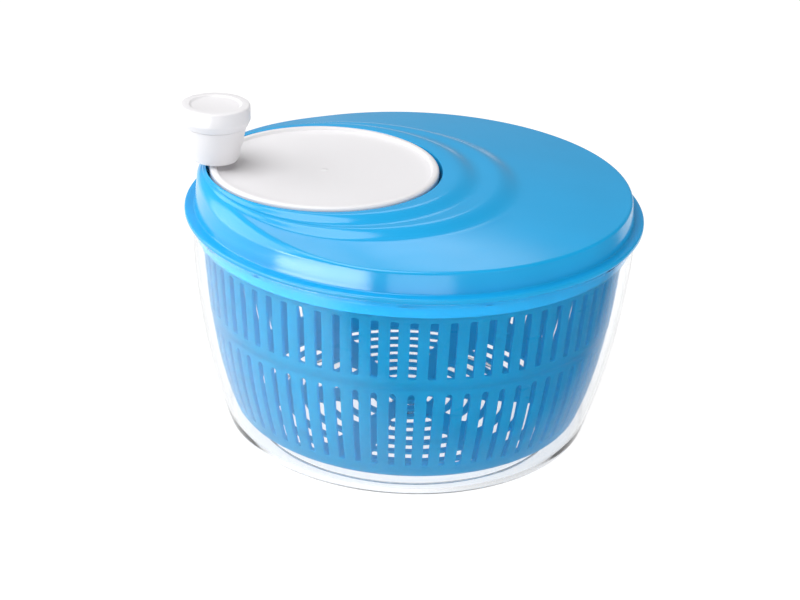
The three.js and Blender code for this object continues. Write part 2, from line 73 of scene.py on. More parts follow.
# ------------------------------------------------------------------ camera, light and floor
AIM = Vector((-0.0060, 0.0009, 0.0735))
AZIMUTH, ELEVATION, ROLL = (math.radians(d) for d in (-8.5, 24.86, 2.31))
DISTANCE = 1.15
LENS = 89.1

WORLD_DIM = (0.07, 0.065, 0.06, 1)
WORLD_BRIGHT = (0.4, 0.4, 0.4, 1)
WORLD_EDGE = (0.12, 0.1, 0.09, 1)  # added at the table's edge, and gone well above it
BLACK = (0, 0, 0, 1)
FLOOR_SIZE = 12
FLOOR_GREY = (0.14, 0.14, 0.14, 1)
FLOOR_GLOW = 0.97
PAINTED_DARK_REFLECTION = 0.05  # painted dark reflection: the glow mirrored in place of the table's over its front right, though no dark screen stands there
DARK_REFLECTION_START, DARK_REFLECTION_FULL = 0.08, 0.15  # how far out from the axis, towards the front right, the painted dark reflection begins and is whole
LIGHT_AIM = Vector((0, 0, 0.1))


def add_camera():
    back = Vector((math.sin(AZIMUTH), -math.cos(AZIMUTH), 0)) * math.cos(ELEVATION)
    back.z = math.sin(ELEVATION)
    right = Vector((math.cos(AZIMUTH), math.sin(AZIMUTH), 0))
    up = back.cross(right)
    side = right * math.cos(ROLL) + up * math.sin(ROLL)
    top = up * math.cos(ROLL) - right * math.sin(ROLL)
    data = bpy.data.cameras.new("camera")
    data.lens = LENS
    camera = bpy.data.objects.new("camera", data)
    turn = Matrix((side, top, back)).transposed().to_4x4()
    camera.matrix_world = Matrix.Translation(AIM + back * DISTANCE) @ turn
    bpy.context.scene.collection.objects.link(camera)
    bpy.context.scene.camera = camera


def from_camera(azimuth_deg, elevation_deg, distance):
    """A place round the object, with its azimuth counted from the camera's, left being negative."""
    a = AZIMUTH + math.radians(azimuth_deg)
    e = math.radians(elevation_deg)
    return distance * Vector((math.sin(a) * math.cos(e), -math.cos(a) * math.cos(e), math.sin(e)))


def add_softbox(name, place, size, power, lights=True, mirrored=True):
    """A softbox that faces the object. It may light the object, show in its gloss, or both."""
    data = bpy.data.lights.new(name, "AREA")
    data.shape = "RECTANGLE"
    data.size, data.size_y = size
    data.energy = power
    light = bpy.data.objects.new(name, data)
    light.location = place
    light.rotation_euler = (LIGHT_AIM - place).to_track_quat("-Z", "Y").to_euler()
    light.visible_camera = False
    light.visible_diffuse = lights
    light.visible_glossy = mirrored
    bpy.context.scene.collection.objects.link(light)


def along(tree, coordinates, direction):
    """How far a place or a view goes towards direction."""
    coords = tree.nodes.new("ShaderNodeTexCoord")
    towards = tree.nodes.new("ShaderNodeVectorMath")
    towards.operation = "DOT_PRODUCT"
    towards.inputs[1].default_value = direction
    tree.links.new(coords.outputs[coordinates], towards.inputs[0])
    return towards.outputs["Value"]


def add_ramp(tree, direction, low, high):
    """A colour that goes from low to high, each a (cosine, colour), as the view turns towards direction."""
    ramp = tree.nodes.new("ShaderNodeValToRGB")
    tree.links.new(along(tree, "Generated", direction), ramp.inputs[0])
    for element, (place, colour) in zip(ramp.color_ramp.elements, (low, high)):
        element.position = place
        element.color = colour
    return ramp.outputs[0]


def add_world():
    """A pale room: brighter behind and on the left, dim on the right, with a warm glow low down all round."""
    world = bpy.data.worlds.new("studio")
    world.use_nodes = True
    tree = world.node_tree
    background = tree.nodes["Background"]
    room = add_ramp(tree, from_camera(-125, 35, 1), (0.1, WORLD_DIM), (0.85, WORLD_BRIGHT))
    glow = add_ramp(tree, (0, 0, 1), (0.0, WORLD_EDGE), (0.4, BLACK))
    both = tree.nodes.new("ShaderNodeVectorMath")
    both.operation = "ADD"
    tree.links.new(room, both.inputs[0])
    tree.links.new(glow, both.inputs[1])
    tree.links.new(both.outputs[0], background.inputs["Color"])
    bpy.context.scene.world = world


def add_floor():
    """A white table that lights itself. Where it is mirrored, its front right is dark: a painted dark reflection,
    with no screen there.
    """
    bpy.ops.mesh.primitive_plane_add(size=FLOOR_SIZE)
    floor = bpy.context.object
    floor.name = "floor"
    paint = bpy.data.materials.new("floor_white")
    paint.use_nodes = True
    tree = paint.node_tree
    shader = tree.nodes["Principled BSDF"]
    shader.inputs["Base Color"].default_value = FLOOR_GREY
    shader.inputs["Roughness"].default_value = 0.9
    shader.inputs["Specular IOR Level"].default_value = 0
    shader.inputs["Emission Color"].default_value = (1, 1, 1, 1)
    mirrored = tree.nodes.new("ShaderNodeMapRange")
    mirrored.inputs["From Min"].default_value = DARK_REFLECTION_START
    mirrored.inputs["From Max"].default_value = DARK_REFLECTION_FULL
    mirrored.inputs["To Min"].default_value = FLOOR_GLOW
    mirrored.inputs["To Max"].default_value = PAINTED_DARK_REFLECTION
    # Painted dark reflection: rays that reach the table by way of gloss find its front right dim.
    path = tree.nodes.new("ShaderNodeLightPath")
    glow = tree.nodes.new("ShaderNodeMapRange")
    glow.inputs["To Min"].default_value = FLOOR_GLOW
    tree.links.new(along(tree, "Object", from_camera(40, 0, 1)), mirrored.inputs["Value"])
    tree.links.new(mirrored.outputs[0], glow.inputs["To Max"])
    tree.links.new(path.outputs["Glossy Depth"], glow.inputs["Value"])
    tree.links.new(glow.outputs[0], shader.inputs["Emission Strength"])
    paint.cycles.emission_sampling = "NONE"
    floor.data.materials.append(paint)


add_camera()
add_world()
add_softbox("key_left", from_camera(-88, 22, 1.2), (1.1, 1.1), 10.5)
add_softbox("low_left", from_camera(-42, 7, 0.66), (0.55, 0.16), 2.9, lights=False)
add_softbox("low_front", from_camera(4, 6, 0.66), (0.34, 0.16), 0.5, lights=False)
add_softbox("fill_right", from_camera(35, 24, 1.4), (1, 0.8), 7.5, mirrored=False)
add_softbox("top", from_camera(-50, 72, 1.3), (0.9, 0.9), 9.5)
add_softbox("back", from_camera(180, 43, 1.5), (0.5, 0.3), 0.75)
add_floor()
bpy.context.scene.view_settings.view_transform = "Standard"


# ------------------------------------------------------------------ outlines and meshes
def rounded(corners, steps=4):
    """An outline whose corners (r, z, radius) are turned into arcs; a corner with no radius stays sharp."""
    points = []
    for i, corner in enumerate(corners):
        here = Vector(corner[:2])
        radius = corner[2] if len(corner) > 2 else 0
        if not radius:
            points.append(here)
            continue
        before, after = (Vector(corners[(i + k) % len(corners)][:2]) - here for k in (-1, 1))
        reach = 0.48 * min(before.length, after.length)
        before.normalize()
        after.normalize()
        half = math.acos(max(-1, min(1, before.dot(after)))) / 2
        tangent = min(radius / math.tan(half), reach)
        radius = tangent * math.tan(half)
        centre = here + (before + after).normalized() * (radius / math.sin(half))
        start, end = here + before * tangent - centre, here + after * tangent - centre
        turn = math.pi - 2 * half
        sense = 1 if start.cross(end) > 0 else -1
        for k in range(steps + 1):
            a = sense * turn * k / steps
            points.append(centre + Matrix.Rotation(a, 2) @ start)
    return [(p.x, p.y) for p in points]


def curve(ends, middle, steps):
    """Points on a quadratic curve from ends[0] to ends[1], pulled towards middle."""
    a, b, c = (np.array(p, float) for p in (ends[0], middle, ends[1]))
    shares = np.linspace(0, 1, steps + 1)
    return [tuple((1 - t) ** 2 * a + 2 * t * (1 - t) * b + t * t * c) for t in shares]


def turned(outline, segments=128, closed=False):
    """A bmesh of the outline turned about Z. It starts and ends on the axis unless it is a closed ring."""
    mesh = bmesh.new()
    rings = []
    for r, z in outline:
        if r < 1e-6:
            rings.append([mesh.verts.new((0, 0, z))])
            continue
        turns = (2 * math.pi * i / segments for i in range(segments))
        rings.append([mesh.verts.new((r * math.cos(a), r * math.sin(a), z)) for a in turns])
    pairs = list(zip(rings, rings[1:]))
    if closed:
        pairs.append((rings[-1], rings[0]))
    for low, high in pairs:
        for i in range(segments):
            add_facet(mesh, low, high, i)
    return mesh


def add_facet(mesh, low, high, i):
    """The face between two rings after their point i. A ring of one point makes it a triangle."""
    j = i + 1
    corners = [low[i % len(low)], low[j % len(low)], high[j % len(high)], high[i % len(high)]]
    corners = list(dict.fromkeys(corners))
    if len(corners) > 2:
        mesh.faces.new(corners)


def moved(mesh, x=0, y=0, z=0, turn=0):
    mesh.transform(Matrix.Translation((x, y, z)) @ Matrix.Rotation(turn, 4, "Z"))
    return mesh


def cylinder(r, z0, z1, segments=32):
    return turned([(0, z0), (r, z0), (r, z1), (0, z1)], segments)


def block(x0, x1, y0, y1, z0, z1):
    mesh = bmesh.new()
    size = Matrix.Diagonal((x1 - x0, y1 - y0, z1 - z0, 1))
    middle = Matrix.Translation(((x0 + x1) / 2, (y0 + y1) / 2, (z0 + z1) / 2))
    bmesh.ops.create_cube(mesh, size=1, matrix=middle @ size)
    return mesh


def to_object(mesh, name):
    """A new object in metres, with its bmesh freed."""
    bmesh.ops.recalc_face_normals(mesh, faces=mesh.faces)
    data = bpy.data.meshes.new(name)
    mesh.to_mesh(data)
    mesh.free()
    data.transform(Matrix.Scale(MM, 4))
    made = bpy.data.objects.new(name, data)
    bpy.context.scene.collection.objects.link(made)
    return made


def settle(obj):
    """Applies the object's modifiers."""
    graph = bpy.context.evaluated_depsgraph_get()
    data = bpy.data.meshes.new_from_object(obj.evaluated_get(graph))
    obj.modifiers.clear()
    obj.data = data
    return obj


def combined(obj, meshes, operation):
    """obj with each mesh joined to it (UNION) or cut from it (DIFFERENCE)."""
    tools = []
    for i, mesh in enumerate(meshes):
        tool = to_object(mesh, f"tool_{i}")
        tools.append(tool)
        step = obj.modifiers.new("solid", "BOOLEAN")
        step.operation = operation
        step.solver = "MANIFOLD"
        step.object = tool
    settle(obj)
    for tool in tools:
        bpy.data.objects.remove(tool)
    return obj


def softened(obj, width, angle_deg=40, segments=2):
    """obj with its sharp edges rounded."""
    step = obj.modifiers.new("edges", "BEVEL")
    step.width = width * MM
    step.segments = segments
    step.limit_method = "ANGLE"
    step.angle_limit = math.radians(angle_deg)
    step.use_clamp_overlap = True
    return settle(obj)


def show(obj, node, smooth_deg=35):
    """obj stands for a CAD node: it takes the node's body, slot and material."""
    obj.data.shade_smooth()
    obj.data.set_sharp_from_angle(angle=math.radians(smooth_deg))
    obj.data.materials.clear()
    obj.data.materials.append(MATERIAL[SLOT_OF[node]])
    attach(obj, BODY_OF[node])
    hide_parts(node)
    return obj


def fine(node):
    return f"{node}_fine"


# ------------------------------------------------------------------ materials
class Nodes:
    """A short way to write a material's node tree."""

    def __init__(self, name):
        self.material = bpy.data.materials.new(name)
        self.material.use_nodes = True
        self.tree = self.material.node_tree
        self.shader = self.tree.nodes["Principled BSDF"]
        self.output = self.tree.nodes["Material Output"]
        self.place = self.add("TexCoord").outputs["Object"]

    def add(self, kind, links=(), **values):
        node = self.tree.nodes.new("ShaderNode" + kind)
        for key, value in values.items():
            setattr(node, key, value)
        for socket, source in dict(links).items():
            if isinstance(source, bpy.types.NodeSocket):
                self.tree.links.new(source, node.inputs[socket])
            else:
                node.inputs[socket].default_value = source
        return node

    def noise(self, scale, detail=3, stretch=(1, 1, 1)):
        place = self.add("Mapping", {"Vector": self.place, "Scale": stretch}).outputs[0]
        return self.add("TexNoise", {"Vector": place, "Scale": scale, "Detail": detail}).outputs["Fac"]

    def range(self, value, low, high, start=0.3, end=0.7):
        links = {"Value": value, "From Min": start, "From Max": end, "To Min": low, "To Max": high}
        return self.add("MapRange", links).outputs[0]

    def blend(self, factor, a, b):
        node = self.add("Mix", data_type="RGBA")
        for socket, source in (("Factor", factor), ("A", a), ("B", b)):
            found = [s for s in node.inputs if s.name == socket and s.enabled][0]
            if isinstance(source, bpy.types.NodeSocket):
                self.tree.links.new(source, found)
            else:
                found.default_value = source
        return [s for s in node.outputs if s.enabled][0]

    def bump(self, height, strength, distance, normal=None):
        links = {"Height": height, "Strength": strength, "Distance": distance}
        if normal is not None:
            links["Normal"] = normal
        return self.add("Bump", links).outputs[0]

    def set(self, **sockets):
        for name, value in sockets.items():
            socket = self.shader.inputs[name.replace("_", " ")]
            if isinstance(value, bpy.types.NodeSocket):
                self.tree.links.new(value, socket)
            else:
                socket.default_value = value

    def finish_with(self, shader):
        self.tree.links.new(shader, self.output.inputs["Surface"])


def shade(colour, factor):
    return (*(min(1, c * factor) for c in colour), 1)


def moulded(name, colour, roughness, grain=0.25, tint=0.06):
    """Moulded plastic: slow drifts of colour, a fine spark-eroded grain, and fine wipe marks in the gloss."""
    n = Nodes(name)
    drift = n.noise(14, 2)
    colour_drift = n.blend(n.range(drift, 0, 1), shade(colour, 1 - tint), shade(colour, 1 + tint))
    wipes = n.noise(45, 2, (1, 3, 1))
    skin = n.noise(2600, 2)
    n.set(
        Base_Color=colour_drift,
        Roughness=n.range(wipes, roughness - 0.02, roughness + 0.03),
        Normal=n.bump(skin, grain, 0.00002),
    )
    return n.material


def clear_plastic(name):
    """Clear styrene: light passes it, thin walls stay colourless, and the surface has faint wipe marks."""
    n = Nodes(name)
    wipes = n.noise(70, 3, (1, 1, 6))
    n.set(
        Base_Color=(0.97, 0.985, 1, 1),
        Transmission_Weight=1.0,
        IOR=1.4,
        Roughness=n.range(wipes, 0.0, 0.04),
        Normal=n.bump(n.noise(40, 1), 0.08, 0.0004),
    )
    lets_light_in = n.add("BsdfTransparent", {"Color": (0.95, 0.97, 0.98, 1)}).outputs[0]
    is_shadow = n.add("LightPath").outputs["Is Shadow Ray"]
    mix = n.add("MixShader", {0: is_shadow, 1: n.shader.outputs[0], 2: lets_light_in})
    n.finish_with(mix.outputs[0])
    return n.material


def sheer_plastic(name, colour, glow):
    """Tinted plastic thin enough for light to come through it, with a faint painted glow in its own tint that
    stands in for light scattered inside the walls.
    """
    n = Nodes(name)
    drift = n.noise(18, 2)
    tint = n.blend(n.range(drift, 0, 1), shade(colour, 0.94), shade(colour, 1.06))
    n.set(
        Base_Color=tint,
        Roughness=n.range(n.noise(55, 3, (1, 1, 5)), 0.26, 0.4),
        Specular_IOR_Level=0.3,
        # Painted glow: the plastic gives off a little light of its own tint, standing in for light scattered
        # through it.
        Emission_Color=tint,
        Emission_Strength=0.2,
        Normal=n.bump(n.noise(900, 2), 0.2, 0.00006),
    )
    scattered = n.add("BsdfTranslucent", {"Color": glow}).outputs[0]
    clear = n.add("BsdfTransparent", {"Color": glow}).outputs[0]
    mix = n.add("MixShader", {0: 0.55, 1: n.shader.outputs[0], 2: scattered}).outputs[0]
    n.finish_with(n.add("MixShader", {0: 0.28, 1: mix, 2: clear}).outputs[0])
    return n.material


def turned_steel(name):
    """Zinc-plated steel with fine turning marks round its axis."""
    n = Nodes(name)
    marks = n.noise(400, 3, (1, 1, 9))
    n.set(
        Base_Color=n.blend(n.range(n.noise(220, 2), 0, 1), (0.5, 0.51, 0.53, 1), (0.66, 0.66, 0.66, 1)),
        Metallic=1.0,
        Roughness=n.range(marks, 0.22, 0.4),
        Normal=n.bump(marks, 0.2, 0.00005),
    )
    return n.material


MATERIAL = {
    "clear_plastic": clear_plastic("clear_plastic_look"),
    "sheer_blue_plastic": sheer_plastic("sheer_blue_look", (0.01, 0.46, 0.68), (0.01, 0.52, 0.8, 1)),
    "blue_plastic": moulded("blue_plastic_look", (0.01, 0.38, 0.76), 0.17, 0.1, 0.04),
    "white_plastic": moulded("white_plastic_look", (0.82, 0.81, 0.83), 0.32, 0.3, 0.01),
    "acetal": moulded("acetal_look", (0.78, 0.77, 0.72), 0.45, 0.4, 0.04),
    "steel": turned_steel("steel_look"),
}


# ------------------------------------------------------------------ bowl
RIM_Z = span("bowl")[1].z
RIM_R = span("bowl")[1].x
RIM_THICK = 3.4
BOWL_TOP = RIM_Z - RIM_THICK
BOWL_TOP_R = RIM_R - 2.2
BOWL_SPREAD, BOWL_POWER = 19.6, 1.9  # how far the wall draws in below its top, and how late
CORNER_Z = 9
CORNER_START_R = 97
WALL = 2.2
FLOOR_Z = 2.2
FOOT_R = (81.5, 88)
BOSS_R, BOSS_TOP_R, BOSS_TOP_Z = 10, 6, 11.5


def bowl_r(z):
    """The bowl's outer radius at a height over its corner."""
    below = max(0.0, (BOWL_TOP - z) / (BOWL_TOP - CORNER_Z))
    return BOWL_TOP_R - BOWL_SPREAD * below**BOWL_POWER


def bowl_mesh():
    """A thin wall that flares to a rolled rim, on a foot ring, with a boss for the pin in its floor."""
    heights = np.linspace(CORNER_Z, BOWL_TOP, 22)
    corner = bowl_r(CORNER_Z)
    pin_r = (span("pivot_pin")[1].x - span("pivot_pin")[0].x) / 2
    pin_z = span("pivot_pin")[0].z
    corner_start = (CORNER_START_R, FLOOR_Z)
    foot_in, foot_out = FOOT_R
    inner_foot = [(0, FLOOR_Z), (foot_in - 0.6, FLOOR_Z, 0.8), (foot_in, 0, 0.9)]
    outer_foot = [(foot_out, 0, 1.2), (foot_out + 1, FLOOR_Z, 0.8), corner_start]
    foot = rounded(inner_foot + outer_foot)
    outside = curve((corner_start, (corner, CORNER_Z)), (corner - 2.2, FLOOR_Z), 8)
    rim = rounded(
        [
            (bowl_r(heights[-2]), heights[-2]),
            (bowl_r(BOWL_TOP), BOWL_TOP, 0.6),
            (RIM_R, BOWL_TOP + 0.6, 0.6),
            (RIM_R, RIM_Z, 1.0),
            (bowl_r(RIM_Z) - WALL, RIM_Z, 0.9),
            (bowl_r(BOWL_TOP) - WALL, BOWL_TOP),
        ]
    )
    inside_z = FLOOR_Z + WALL
    floor_start = (CORNER_START_R - 1, inside_z)
    inside = curve(((corner - WALL + 0.4, CORNER_Z + 1.6), floor_start), (corner - 2 * WALL, inside_z), 8)
    hole_r = pin_r + 0.1
    hole = [(hole_r, BOSS_TOP_Z), (hole_r, pin_z), (0, pin_z)]
    boss = rounded([floor_start, (BOSS_R, inside_z, 1.5), (BOSS_TOP_R, BOSS_TOP_Z, 0.8), *hole])
    outline = foot[:-1] + outside
    outline += [(bowl_r(z), z) for z in heights[1:-2]]
    outline += rim
    outline += [(bowl_r(z) - WALL, z) for z in heights[-2:0:-1]]
    outline += inside + boss[1:]
    return turned(outline, 192)


show(to_object(bowl_mesh(), fine("bowl")), "bowl")


# ------------------------------------------------------------------ basket
BASKET_HIGH = span("basket")[1]
BASKET_RIM = BASKET_HIGH.z
PITCHES = 72
PITCH_HALF = math.pi / PITCHES
SLOT_COLUMNS = (-1, -0.6, 0, 0.6, 1)  # across a slot, in half widths
COLUMNS = len(SLOT_COLUMNS) + 1  # in one pitch, with its first border
SLOT_ROWS = [(23.5, 72.5, 0.6, 1.9), (82, 116.5, 0.5, 0.5)]  # bottom, top, and how round each end is
LOW_SLOT_HALF = math.radians(0.9)  # half a slot's width, as an angle, up to the plain belt and over it
HIGH_SLOT_HALF = math.radians(1.02)
BELT_Z = 77.1
NOTCH_Z = 123
NOTCH_HALF = math.radians(2.04)
SECTORS = 6
FIRST_RING, RING_PITCH, RING_COUNT = 13, 10.3, 8
RING_RADII = [FIRST_RING + RING_PITCH * k for k in range(RING_COUNT)]
RING_HALF = 3.2
ARC_END = 1.3  # how far the middle of an arc slot's end stands out past its corners
FLOOR_COLUMNS = PITCHES * COLUMNS // 2
SECTOR_COLUMNS = FLOOR_COLUMNS // SECTORS
ARC_COLUMNS = 25  # columns that an arc slot takes of a sector's
SECTOR_TURN = math.radians(27.5)  # the angle of the first sector's middle
BASKET_FLOOR = 13.5
FLOOR_SHARE = 0.68  # the floor's thickness over the wall's
BASKET_CORNER_Z = 22
BASKET_TOP_R = 118.2
BASKET_TAPER = 0.075
BASKET_SPREAD, BASKET_POWER = 8.75, 3.6
UPPER_STEP = 0.45  # how far the wall over the belt stands out past the wall under it
RIM_STEP = 1.0
RIM_FOOT_Z = BASKET_RIM - 2.1
HUB_Z, HUB_R, HUB_FOOT_Z = 20.7, 5.8, 12.6


def basket_r(z):
    down = BASKET_RIM - z
    below = max(0.0, down / (BASKET_RIM - BASKET_CORNER_Z))
    return BASKET_TOP_R - BASKET_TAPER * down - BASKET_SPREAD * below**BASKET_POWER


def wall_angles(z):
    """The angle of each wall column. A pitch starts on its border, and a slot is in its middle."""
    angles = []
    half = LOW_SLOT_HALF if z < BELT_Z else HIGH_SLOT_HALF
    for i in range(PITCHES):
        middle = (2 * i + 1) * PITCH_HALF
        angles.append(middle - PITCH_HALF)
        angles += [middle + s * half for s in SLOT_COLUMNS]
    return angles


def stands_out(z):
    """How far the wall at a height stands out past its lowest part."""
    if z < BELT_Z:
        return 0
    return UPPER_STEP if z < RIM_FOOT_Z else RIM_STEP


def wall_rows():
    """The wall's rows as (height, end rounding). A slot's end row bends with its rounding."""
    (low, low_top, *_), (high, *_) = SLOT_ROWS
    rows = [(low - 0.9, 0)]
    for bottom, top, bottom_round, top_round in SLOT_ROWS:
        rows.append((bottom, bottom_round))
        rows += [(z, 0) for z in np.linspace(bottom + 4, top - 5, 6)]
        rows += [(top, -top_round), (top + 1.2, 0)]
        if top == low_top:
            rows += [(z, 0) for z in (BELT_Z - 0.1, BELT_Z + 0.3, high - 1.2)]
    return rows + [(z, 0) for z in (NOTCH_Z - 3, NOTCH_Z, RIM_FOOT_Z - 0.3, RIM_FOOT_Z + 0.2, BASKET_RIM)]


def in_slot(height, column):
    inside = column % COLUMNS in range(1, COLUMNS - 1)
    return inside and any(low <= height < high for low, high, _, _ in SLOT_ROWS)


def near_notch(column):
    """-1 or 1 for the column on either side of a notch, else 0."""
    per_notch = PITCHES * COLUMNS // SECTORS
    return {1: 1, per_notch - 1: -1}.get(column % per_notch, 0)


def basket_wall(mesh):
    grid = []
    columns_per_notch = PITCHES * COLUMNS // SECTORS
    for z, bend in wall_rows():
        ring = []
        for j, angle in enumerate(wall_angles(z)):
            s = (0, *SLOT_COLUMNS)[j % COLUMNS]
            across = 1 - math.sqrt(max(0, 1 - s * s)) if j % COLUMNS else 0
            height = z + bend * across
            side = near_notch(j)
            if side and z >= NOTCH_Z:
                angle = round(j / columns_per_notch) * (2 * math.pi / SECTORS) + side * NOTCH_HALF
            r = basket_r(height) + stands_out(z) - UPPER_STEP
            ring.append(mesh.verts.new((r * math.cos(angle), r * math.sin(angle), height)))
        grid.append((z, ring))
    count = PITCHES * COLUMNS
    for (z, low), (_, high) in zip(grid, grid[1:]):
        for j in range(count):
            k = (j + 1) % count
            notch = z >= NOTCH_Z and (near_notch(k) == 1 or near_notch(j) == -1)
            if in_slot(z, j) or notch:
                continue
            mesh.faces.new((low[j], low[k], high[k], high[j]))
    return grid[0][1]


def floor_rows():
    """The floor's rows as (radius, height, place across a ring of slots or None between the rings)."""
    hub = [(2.5, HUB_Z), (HUB_R - 0.6, HUB_Z), (HUB_R, HUB_Z - 0.6), (HUB_R, HUB_FOOT_Z + 0.6)]
    hub += [(HUB_R + 0.3, HUB_FOOT_Z), (HUB_R + 2.2, HUB_FOOT_Z), (HUB_R + 3.4, BASKET_FLOOR)]
    rows = [(r, z, None) for r, z in hub]
    for ring in RING_RADII:
        rows += [(ring + s * RING_HALF, BASKET_FLOOR, s) for s in SLOT_COLUMNS]
    corner = basket_r(BASKET_CORNER_Z)
    ends = ((90.5, BASKET_FLOOR), (corner - 0.4, BASKET_CORNER_Z))
    rows += [(r, z, None) for r, z in curve(ends, (corner - 2.9, BASKET_FLOOR), 5)]
    return rows


def basket_floor(mesh):
    """Six sectors of arc slots between solid spokes, with a raised hub."""
    step = 2 * math.pi / FLOOR_COLUMNS
    half = ARC_COLUMNS * step / 2
    turn = SECTOR_TURN
    grid = []
    for r, z, across in floor_rows():
        ring = []
        for j in range(FLOOR_COLUMNS):
            place = j % SECTOR_COLUMNS
            angle = (j // SECTOR_COLUMNS) * SECTOR_COLUMNS * step + turn - half + place * step
            if across is not None and place in (0, ARC_COLUMNS):
                inward = (1 - math.sqrt(1 - across * across)) * ARC_END / r
                angle += inward if place == 0 else -inward
            ring.append(mesh.verts.new((r * math.cos(angle), r * math.sin(angle), z)))
        grid.append((across, ring))
    centre = mesh.verts.new((0, 0, floor_rows()[0][1]))
    for j in range(FLOOR_COLUMNS):
        mesh.faces.new((centre, grid[0][1][(j + 1) % FLOOR_COLUMNS], grid[0][1][j]))
    for (across, low), (_, high) in zip(grid, grid[1:]):
        for j in range(FLOOR_COLUMNS):
            if across is not None and across < 1 and j % SECTOR_COLUMNS < ARC_COLUMNS:
                continue
            k = (j + 1) % FLOOR_COLUMNS
            mesh.faces.new((low[j], low[k], high[k], high[j]))
    return grid[-1][1]


def basket():
    """The outer faces of the wall and floor, sewn together at the corner and then given their thickness."""
    mesh = bmesh.new()
    wall = basket_wall(mesh)
    floor = basket_floor(mesh)
    start = math.atan2(floor[0].co.y, floor[0].co.x) % (2 * math.pi)
    shift = round(start / (2 * math.pi) * len(wall))
    for j in range(FLOOR_COLUMNS):
        a, b = floor[j], floor[(j + 1) % FLOOR_COLUMNS]
        w = [wall[(shift + 2 * j + k) % len(wall)] for k in range(3)]
        mesh.faces.new((a, b, w[2], w[1], w[0]))
    bmesh.ops.delete(mesh, geom=[v for v in mesh.verts if not v.link_faces], context="VERTS")
    made = to_object(mesh, fine("basket"))
    thick = made.vertex_groups.new(name="thick")
    for v in made.data.vertices:
        in_floor = v.co.z < (BASKET_FLOOR + 1) * MM and v.co.xy.length > (HUB_R + 3.7) * MM
        thick.add([v.index], FLOOR_SHARE if in_floor else 1, "REPLACE")
    sheet = made.modifiers.new("wall", "SOLIDIFY")
    sheet.vertex_group = thick.name
    sheet.thickness = WALL * MM
    sheet.offset = -1
    sheet.use_even_offset = True
    return made


show(softened(settle(basket()), 0.3, 50), "basket", 50)


# ------------------------------------------------------------------ lid
CRANK_X = axis_of("crank_spin").x
GAP = 0.3  # between pieces that touch or run on each other
RECESS_R = 66.1
RECESS_Z = 146.2
EDGE_R = 123.0
EDGE_Z = 146.0
PAD_Z = 157.5
EDGE_ROUND = 1.6  # how far the outer edge is rounded, and how far at most beside the recess
BROAD_ROUND = 9.6
NARROW_HOLD = 0.87  # how much of the pad's height the narrow side keeps out to the edge
NARROW_SPREAD = math.radians(75)
RIPPLES = ((0.3, 0.08, 0.2), (0.35, 0.28, 0.42))  # each step's share of the drop, its start and its end
FLANGE_R = span("lid_shell")[1].x
FLANGE_Z = RIM_Z + GAP
FLANGE_TOP = FLANGE_Z + 2.8
SKIRT_R = 124.4
LOCATING_R = 122.6
LOCATING_Z = span("lid_shell")[0].z
BOSS_OUTER_R, BUSH_HOLE_R = 9, 6.3
LID_SEGMENTS = 240
TOP_RINGS = 72


def smooth(value, low, high):
    t = max(0.0, min(1.0, (value - low) / (high - low)))
    return t * t * (3 - 2 * t)


def lid_drop(t):
    """How far the top has come down from the pad, from 0 at the recess to 1 at the outer edge."""
    steps = sum(share * smooth(t, start, end) for share, start, end in RIPPLES)
    left = 1 - sum(share for share, _, _ in RIPPLES)
    last = RIPPLES[-1][2]
    return steps + left * max(0.0, (t - last) / (1 - last))


def off_narrow_side(angle):
    """How far an angle is from the side where the recess nearly reaches the edge."""
    return abs(math.pi - angle % (2 * math.pi))


def edge_drop(t, angle):
    """How far the rounding of the outer edge has come down."""
    width = EDGE_R - RECESS_R - CRANK_X * math.cos(angle)
    broad = 1 - smooth(off_narrow_side(angle), math.radians(22), math.radians(66))
    radius = min(EDGE_ROUND + (BROAD_ROUND - EDGE_ROUND) * broad, 0.95 * width + 0.3)
    inward = max(0.0, radius - (1 - t) * width)
    return radius - math.sqrt(radius**2 - min(inward, radius) ** 2)


def lid_top(t, angle):
    """The top's height. Where the recess nearly reaches the edge, it stays high."""
    narrow = 1 - smooth(off_narrow_side(angle), 0, NARROW_SPREAD)
    slope = PAD_Z - (PAD_Z - EDGE_Z) * lid_drop(t) * (1 - NARROW_HOLD * narrow)
    return slope - edge_drop(t, angle)


